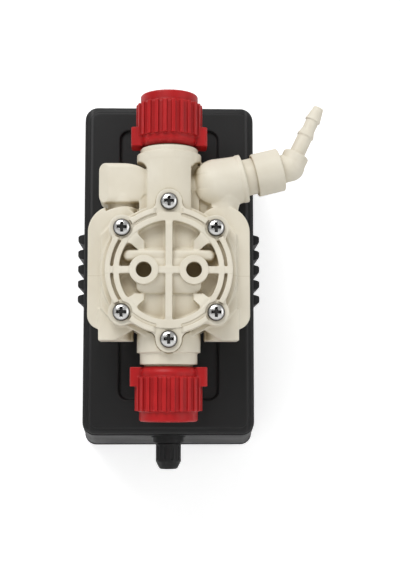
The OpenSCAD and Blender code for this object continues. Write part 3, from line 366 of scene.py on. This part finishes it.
housing = merged("housing_shell")
fin_form(housing)
for edge in housing.edges:
    if len(edge.link_faces) == 2 and edge.calc_face_angle(0.0) > CREASE:
        edge.smooth = False
add_piece("case_shell", finished(mesh_of(housing, "case_shell")), case_plastic, "case",
          "housing_shell")
add_piece("case_lid", moulded("front_lid", 0.0006, 2), case_plastic, "case",
          "front_lid")

# Pump head: one satin, cream-coloured moulding with two valve columns, a sloping branch and a
# rounded block. Corners and crevices are painted darker and warmer as shade, the surface has faint
# flow marks, the sockets are painted dark inside as shade, and a parting line crosses the ears.
HEAD_Z = -0.00625
LID_Y = -0.110
SOCKET_X = 0.0140
SOCKET_RADIUS_SQUARED = (0.0000180, 0.0000205)
SOCKET_Y = (-0.1597, -0.1560)
SEAM_Z, SEAM_HALF, SEAM_SOFT = -0.0084, 0.00012, 0.00018
SEAM_FROM_X = (0.0330, 0.0340)
resin = Finish("cream_plastic")
mottle = resin.noise(55.0, 4.0)
flow = resin.noise(90.0, 3.0, (1.0, 1.0, 0.2), 0.6)
fine = resin.noise(1500.0, 2.0)
corner_shade = resin.crevice(0.009)
cream = resin.mix(resin.grade(mottle, 0.3, 0.7), (0.740, 0.685, 0.560), (0.800, 0.750, 0.630))
cream = resin.mix(resin.grade(flow, 0.55, 0.8) * 0.35, cream, (0.83, 0.79, 0.68))
# Painted shade: corners and crevices are painted darker and warmer.
cream = resin.mix(resin.grade(corner_shade, 0.15, 0.78, 0.85, 0.0), cream, (0.33, 0.245, 0.11))
side_x = abs(resin.axis("X"))
up_z = resin.axis("Z")
from_socket = side_x - SOCKET_X
from_middle = up_z - HEAD_Z
# Painted shade: the inside of each socket is painted dark brown.
socket_shade = resin.grade(from_socket * from_socket + from_middle * from_middle,
                        *SOCKET_RADIUS_SQUARED, 1.0, 0.0)
socket_shade = socket_shade * resin.grade(resin.axis("Y"), *SOCKET_Y)
cream = resin.mix(socket_shade * 0.9, cream, (0.14, 0.090, 0.018))
seam = resin.line(up_z, SEAM_Z, SEAM_HALF, SEAM_SOFT) * resin.grade(side_x, *SEAM_FROM_X)
cream = resin.mix(seam * 0.30, cream, (0.50, 0.43, 0.28))
cream_plastic = resin.surface(
    Base_Color=cream, Roughness=resin.grade(mottle, 0.3, 0.7, 0.40, 0.50),
    Normal=resin.bump(fine, 0.00002), Specular_IOR_Level=0.4)

PLATE_DEPTH = 0.008
BLOCK_X, BLOCK_FULL_X = 0.0135, 0.0170
UNDERSIDE_DROP, UNDERSIDE_Z = 0.0029, 0.0341
NECK_X, NECK_LEFT, NECK_RIGHT = -0.0265, -0.0360, -0.0172
NECK_AXIS_MM, NECK_RADIUS_MM, NECK_LEAST_MM2 = 24.4, 9.0, 30.0
EAR_TOP_Z, EAR_FALL, EAR_HIGH_MM = 0.0317, 0.000018, 2.0
COLUMN_X, BULB_FROM_X = 0.0125, 0.0126
BULB_X, BULB_Z, BULB_R = 0.02758, 0.04594, 0.0150
BULB_FROM, BULB_TO, BULB_SQUARE = 0.3, 0.97, 3.6
BULB_BACK = 0.0348
FLARE_Z, FLARE_X = 0.0545, 0.0188
WEB = ((0.0118, -0.1415, 0.0440), (0.0168, -0.1090, 0.0565))


def step(value, start, end):
    """0 before start, 1 after end, and a smooth S between them."""
    share = min(max((value - start) / (end - start), 0.0), 1.0)
    return share * share * (3.0 - 2.0 * share)


def block_form(x, y, z):
    """The block's underside sits lower, over a neck that is set back."""
    drop = step(z, 0.0300, 0.0362) * (1.0 - step(z, 0.0375, 0.0440))
    z -= UNDERSIDE_DROP * drop * step(-x, BLOCK_X, BLOCK_FULL_X)
    off = (x - NECK_X) * 1000.0
    ear_top = EAR_TOP_Z - EAR_FALL * (off - EAR_HIGH_MM) ** 2
    if NECK_LEFT < x < NECK_RIGHT and ear_top < z < UNDERSIDE_Z:
        front = NECK_AXIS_MM + math.sqrt(max(NECK_RADIUS_MM ** 2 - off ** 2, NECK_LEAST_MM2))
        y = max(y, LID_Y - front / 1000.0)
    return Vector((x, y, z))


def bulb_form(x, y, z):
    """The branch's bulb fills its corners towards its top and bottom."""
    off = abs(z - BULB_Z) / BULB_R
    under_flare = z > FLARE_Z and x < FLARE_X
    in_bulb = x < BULB_X and y < LID_Y - BULB_BACK and BULB_FROM < off < BULB_TO
    if in_bulb and not under_flare:
        full = (1.0 - off ** BULB_SQUARE) ** (1.0 / BULB_SQUARE)
        wide = (BULB_X - x) * full / math.sqrt(1.0 - off * off)
        x = max(BULB_X - wide, COLUMN_X)
    return Vector((x, y, z))


def head_form(co):
    """The block on the left and the bulb on the right, in front of the side plate."""
    if co.y > LID_Y - PLATE_DEPTH:
        return co
    if co.x < -BLOCK_X:
        return block_form(*co)
    if co.x > BULB_FROM_X:
        return bulb_form(*co)
    return co


add_piece("head_moulding", moulded("pump_head", 0.00045, 3, head_form, [WEB]), cream_plastic,
          "case", "pump_head")

# Head cover: the ribbed front of the head, in the same plastic, held by the six screws. A rim, a
# groove and a ring surround spokes, braces and two bosses over pockets with a barrel. Its sizes
# are in millimetres: x across and z up from the head's middle, t out from the lid.
FIELD_R = 36.0
RIM_IN_R = 32.9
GROOVE_R = 31.0
RING_OUT_R = 30.9
RING_IN_R = 27.9
DEEPEST_T = 41.9
FLOOR_T = 42.2
LOBE_T, LOBE_UP, LOBE_IN_X, LOBE_OUT_X = 48.5, 28.0, 6.6, 8.8
GROOVE_T, GROOVE_RUN_OUT = 46.9, 1.8
SPOKE_T, SPOKE_HALF = 50.0, 2.0
SPOKE_FALL, SPOKE_FALL_R, SPOKE_FALLEN_R = 0.8, 24.0, 28.0
BOSS_X, BOSS_R = 14.0, 8.2
BRACE_RUN, BRACE_RISE = 0.743, 0.669
BRACE_HALF, BRACE_FLARE, BRACE_MIDDLE = 2.9, 0.045, 20.0
BRACE_LOW_T, BRACE_CLIMB, BRACE_MOST_T = 45.6, 3.2, 48.7
BRACE_FOOT, BRACE_HEAD = 18.5, 27.0
BRACE_X, BRACE_OVER_BAR, BRACE_UNDER_BARREL = 13.9, 11.9, 13.1
POCKET_CORNER, POCKET_EDGE = 3.4, 0.35
ROOT_R = 1.7
BARREL_HALF_X, BARREL_HALF_Z, BARREL_CORNER = 14.2, 9.0, 4.0
BARREL_T, BARREL_R = 48.0, 22.0
BAR_X, BAR_Z, BAR_R = 22.4, 8.4, 3.6
BAR_T, BAR_RISE, BAR_SQUARE = 43.0, 4.0, 3.2


def out_from_lid(co, t):
    """The same point, t millimetres out from the lid."""
    return Vector((co.x, LID_Y - t / 1000.0, co.z))


def pocket_gap(x, z, brace):
    """How far a point is into a pocket from what walls it in, with the corners rounded."""
    gap = RING_IN_R - math.hypot(x, z)
    for other in (x - SPOKE_HALF, abs(z) - SPOKE_HALF, brace):
        blend = max(POCKET_CORNER - abs(gap - other), 0.0) / POCKET_CORNER
        gap = min(gap, other) - blend * blend * POCKET_CORNER / 4.0
    return gap


def pocket_height(x, z, gap):
    """The highest of the pocket's floor with its hollow roots, the barrel and the soft bar."""
    t = FLOOR_T
    if 0.0 < gap < ROOT_R:
        t = FLOOR_T + ROOT_R - math.sqrt(ROOT_R ** 2 - (ROOT_R - gap) ** 2)
    past_barrel = math.hypot(max(x - BARREL_HALF_X, 0.0), max(abs(z) - BARREL_HALF_Z, 0.0))
    if past_barrel < BARREL_CORNER:
        t = max(t, BARREL_T - BARREL_R + math.sqrt(BARREL_R ** 2 - z ** 2))
    off_bar = math.hypot(max(x - BAR_X, 0.0), z - BAR_Z) / BAR_R
    if off_bar < 1.0:
        t = max(t, BAR_T + BAR_RISE * (1.0 - off_bar ** BAR_SQUARE) ** (1.0 / BAR_SQUARE))
    return t


def cover_form(co):
    """Inside the ring: braces that slope down to the barrel, pockets with round corners and
    hollow roots, a broad barrel and a soft bar. Between ring and rim: a groove that runs out."""
    x, z, t = abs(co.x) * 1000.0, (co.z - HEAD_Z) * 1000.0, (LID_Y - co.y) * 1000.0
    up = abs(z)
    radius = math.hypot(x, z)
    if t < DEEPEST_T or radius > FIELD_R:
        return co
    if radius > RIM_IN_R:
        if up > LOBE_UP and x < LOBE_OUT_X:
            t = min(t, LOBE_T + (SPOKE_T - LOBE_T) * step(x, LOBE_IN_X, LOBE_OUT_X))
        return out_from_lid(co, t)
    if radius > RING_OUT_R:
        if radius > GROOVE_R:
            t = max(t, GROOVE_T + GROOVE_RUN_OUT * step(up / radius, 0.50, 0.80))
        return out_from_lid(co, t)
    if radius > SPOKE_FALL_R:
        t = min(t, SPOKE_T - SPOKE_FALL * step(radius, SPOKE_FALL_R, SPOKE_FALLEN_R))
    along = x * BRACE_RUN + up * BRACE_RISE
    across = abs(up * BRACE_RUN - x * BRACE_RISE)
    half = BRACE_HALF + BRACE_FLARE * (along - BRACE_MIDDLE)
    brace_end = BRACE_OVER_BAR if z > 0.0 else BRACE_UNDER_BARREL
    brace = max(across - half, BRACE_X - x, brace_end - up)
    brace_t = BRACE_LOW_T + BRACE_CLIMB * step(along, BRACE_FOOT, BRACE_HEAD)
    boss = math.hypot(x - BOSS_X, z) - BOSS_R
    clear_of_walls = min(x - SPOKE_HALF, up - SPOKE_HALF, boss) > 0.3
    if brace < 0.4 and radius < RING_IN_R + 0.2 and clear_of_walls:
        t = min(t, brace_t)
    if boss < 0.0:
        return out_from_lid(co, t)
    gap = pocket_gap(x, z, brace)
    height = pocket_height(x, z, gap)
    if gap > POCKET_EDGE and boss > POCKET_EDGE:
        return out_from_lid(co, height)
    if gap < 0.0:
        height = max(height, min(brace_t, BRACE_MOST_T))
    return out_from_lid(co, max(t, height))


add_piece("head_front_cover", moulded("head_cover", 0.00036, 2, cover_form), cream_plastic,
          "case", "head_cover")

# Union nuts: glass-filled red plastic with grip ribs and two lugs each. The ribs' crests are
# painted paler as a highlight, and the hollows are painted darker as shade.
dye = Finish("red_plastic")
red_cloud = dye.noise(70.0, 3.0)
red_fine = dye.noise(1300.0, 2.0)
red = dye.mix(dye.grade(red_cloud, 0.3, 0.7), (0.41, 0.006, 0.008), (0.50, 0.010, 0.012))
# Painted highlight: the ribs' crests are painted paler.
red = dye.mix(dye.grade(dye.edges(), 0.51, 0.58) * 0.6, red, (0.64, 0.036, 0.036))
# Painted shade: the hollows between the ribs are painted darker.
red = dye.mix(dye.grade(dye.crevice(0.003), 0.3, 0.97, 0.9, 0.0), red, (0.13, 0.001, 0.001))
red_plastic = dye.surface(
    Base_Color=red, Roughness=dye.grade(red_cloud, 0.3, 0.7, 0.36, 0.46),
    Normal=dye.bump(red_fine, 0.00002), Specular_IOR_Level=0.3)

for side in ("discharge", "suction"):
    add_piece(side + "_union_nut", moulded(side + "_nut", 0.00030, 2), red_plastic,
              side + "_union", side + "_nut")

# Bleed valve: a stem that turns out of the branch, its nut and a bent hose tail with two barbs.
# All three are moulded in the head's cream plastic, and a fine grid keeps flats and barbs crisp.
FINE_GRID = 0.00025
for name, body, node in (("bleed_valve_stem", "bleed_valve", "bleed_stem"),
                         ("bleed_valve_nut", "bleed_cap", "bleed_nut"),
                         ("bleed_hose_tail", "bleed_tail", "bleed_elbow")):
    add_piece(name, moulded(node, FINE_GRID, 2), cream_plastic, body, node)

# Cable gland: a black body with a flange, screwed into the case's floor, and its dome nut with
# grip flats. Both have the case's finish.
for name, body, node in (("gland_flange", "case", "gland_body"),
                         ("gland_dome", "gland_cap", "gland_nut")):
    add_piece(name, moulded(node, FINE_GRID, 2), case_plastic, body, node)

# Head screws: six stainless pan heads with a cross recess. They are cold headed, so the crown is
# bright and smooth. The steep rim and the recess are painted dark, as painted shade and dark
# reflection.
SCREW_SPOTS = [(0.0, 0.0386), (0.0, -0.0386), (0.02631, 0.02369), (-0.02631, 0.02369),
               (0.02631, -0.02369), (-0.02631, -0.02369)]
HEAD_SEAT_Y = -0.1585
PAN_RADIUS = 0.0049
PAN_HEIGHT = 0.00335
PAN_PROFILE = [(0.0, 0.0), (0.94, 0.0), (1.0, 0.06), (1.0, 0.34), (0.97, 0.50), (0.90, 0.66),
               (0.78, 0.80), (0.60, 0.91), (0.38, 0.975), (0.18, 0.997), (0.0, 1.0)]
PAN_STEPS = 48
CROSS_SPAN, CROSS_WIDTH, CROSS_DEPTH = 0.0062, 0.0019, 0.0023
CROSS_TAPER, CROSS_OVERRUN = 0.6, 0.0004
BURR = 0.0000005
steel = Finish("crown_steel")
smear = steel.noise(240.0, 3.0)
bright = steel.mix(steel.grade(smear, 0.35, 0.7), (0.70, 0.695, 0.68), (0.82, 0.815, 0.80))
# Painted shade and dark reflection: where the surface turns away from the front, on the rim and
# the recess walls, it is painted dark.
facing = steel.axis("Y", "Normal") * -1.0
bright = steel.mix(steel.grade(facing, 0.62, 0.86, 1.0, 0.0), bright, (0.115, 0.11, 0.10))
# Painted shade: the recess floor and the lower rim are painted near black.
sunk_shade = steel.grade(steel.axis("Y"), HEAD_SEAT_Y - 0.0021, HEAD_SEAT_Y - 0.0015)
bright = steel.mix(sunk_shade * 0.9, bright, (0.020, 0.018, 0.016))
crown_steel = steel.surface(
    Base_Color=bright, Metallic=1.0, Roughness=steel.grade(smear, 0.3, 0.75, 0.20, 0.30),
    Normal=steel.bump(smear, 0.000004))


def turned_pan():
    """The head without its recess, turned about +Z from its profile."""
    shape = bmesh.new()
    points = [shape.verts.new((radius * PAN_RADIUS, 0.0, height * PAN_HEIGHT))
              for radius, height in PAN_PROFILE]
    edges = [shape.edges.new(pair) for pair in zip(points, points[1:])]
    bmesh.ops.spin(shape, geom=points + edges, cent=(0.0, 0.0, 0.0), axis=(0.0, 0.0, 1.0),
                   angle=math.radians(360.0), steps=PAN_STEPS, use_merge=True)
    bmesh.ops.remove_doubles(shape, verts=shape.verts, dist=BURR)
    bmesh.ops.recalc_face_normals(shape, faces=shape.faces)
    return mesh_of(shape, "pan")


def cross_cutter():
    """Two tapered blades that cross, for the recess."""
    blades = bmesh.new()
    for angle in (0.0, 90.0):
        made = bmesh.ops.create_cube(blades, size=1.0)["verts"]
        for vert in made:
            at_top = vert.co.z > 0.0
            taper = 1.0 if at_top else CROSS_TAPER
            vert.co.x *= CROSS_SPAN * taper
            vert.co.y *= CROSS_WIDTH * taper
            vert.co.z = PAN_HEIGHT + (CROSS_OVERRUN if at_top else -CROSS_DEPTH)
        bmesh.ops.rotate(blades, verts=made, cent=(0.0, 0.0, 0.0),
                         matrix=Matrix.Rotation(math.radians(angle), 3, "Z"))
    return mesh_of(blades, "blades")


cutter = bpy.data.objects.new("cutter", cross_cutter())
collection.objects.link(cutter)
pan_head = finished(turned_pan(),
                    ("BOOLEAN", {"operation": "DIFFERENCE", "object": cutter, "use_self": True}),
                    ("BEVEL", {"width": 0.00010, "segments": 2, "limit_method": "ANGLE",
                               "angle_limit": math.radians(35.0)}))
bpy.data.objects.remove(cutter)
screws = bmesh.new()
for across, up in SCREW_SPOTS:
    one = bmesh.new()
    one.from_mesh(pan_head)
    seat = Matrix.Translation((across, HEAD_SEAT_Y, HEAD_Z + up))
    facing_out = Matrix.Rotation(math.radians(90.0), 4, "X")
    bmesh.ops.transform(one, verts=one.verts, matrix=seat @ facing_out)
    screws.from_mesh(mesh_of(one, "one_head"))
add_piece("head_screw_crowns", finished(mesh_of(screws, "head_screw_crowns")), crown_steel,
          "case", "head_screws")

# Inner pieces: what is inside and behind keeps its CAD shape and gets the finish that its slot
# names, a cloudy two-tone one with a fine tooth. Each row is light and dark tone, least and most
# roughness, depth of the tooth, and how metallic it is.
PLAIN = {
    "bright_steel": ((0.74, 0.74, 0.75), (0.60, 0.60, 0.61), 0.18, 0.30, 0.000004, 1.0),
    "dull_steel": ((0.44, 0.45, 0.47), (0.34, 0.35, 0.36), 0.35, 0.50, 0.00001, 1.0),
    "insert_brass": ((0.78, 0.60, 0.28), (0.62, 0.44, 0.18), 0.25, 0.40, 0.00001, 1.0),
    "bush_bronze": ((0.60, 0.42, 0.22), (0.46, 0.31, 0.15), 0.40, 0.60, 0.00002, 1.0),
    "coil_copper": ((0.58, 0.24, 0.10), (0.42, 0.15, 0.06), 0.30, 0.45, 0.00004, 0.0),
    "seal_rubber": ((0.030, 0.030, 0.031), (0.018, 0.018, 0.019), 0.60, 0.75, 0.00003, 0.0),
    "white_plastic": ((0.82, 0.81, 0.78), (0.74, 0.73, 0.70), 0.30, 0.40, 0.00001, 0.0),
    "board": ((0.035, 0.21, 0.09), (0.02, 0.14, 0.06), 0.40, 0.55, 0.00001, 0.0),
    "ball_ceramic": ((0.86, 0.86, 0.84), (0.80, 0.80, 0.78), 0.12, 0.20, 0.000004, 0.0),
}
slot_finish = {"case_plastic": case_plastic, "cream_plastic": cream_plastic,
               "red_plastic": red_plastic}
for name, (light, dark, smooth, rough, depth, metallic) in PLAIN.items():
    plain = Finish(name)
    clouds = plain.noise(120.0, 4.0)
    slot_finish[name] = plain.surface(
        Base_Color=plain.mix(plain.grade(clouds, 0.3, 0.7), dark, light), Metallic=metallic,
        Roughness=plain.grade(clouds, 0.3, 0.7, smooth, rough),
        Normal=plain.bump(plain.noise(1400.0, 2.0), depth))

# The two pieces that give way as the push rod moves. The diaphragm is cut into sectors, and the
# return spring is kept whole and rides with the case.
SECTORS = 8
DIAPHRAGM_Y = -0.1187


def sector_of(node, angle):
    """The part of a CAD node between two planes through the head's axis."""
    shell = merged(node)
    for side in (-1.0, 1.0):
        edge = angle + side * math.radians(180.0 / SECTORS)
        outward = Vector((-math.sin(edge), 0.0, math.cos(edge))) * side
        bmesh.ops.bisect_plane(shell, geom=shell.verts[:] + shell.edges[:] + shell.faces[:],
                               plane_co=(0.0, DIAPHRAGM_Y, HEAD_Z), plane_no=outward,
                               clear_outer=True)
    return mesh_of(shell, node)


for turn in range(SECTORS):
    angle = math.radians(360.0 / SECTORS * turn)
    piece = new_piece(f"diaphragm_sector_{turn + 1}", sector_of("diaphragm", angle),
                      slot_finish["seal_rubber"], "diaphragm")
    across, up = math.cos(angle), math.sin(angle)
    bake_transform(piece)
coil = new_piece("drive_return_spring", mesh_of(merged("return_spring"), "return_spring"),
                 slot_finish["bright_steel"], "return_spring")
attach(coil, "case")
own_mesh(coil)

# Every CAD node that still shows takes the finish of its slot.
for part in frame["record"]["subparts"]:
    node = frame["nodes"].get(part["node"])
    if node is not None and not node.hide_render:
        slot_name = part["material_slot"]
        coat(node, slot_finish[slot_name])
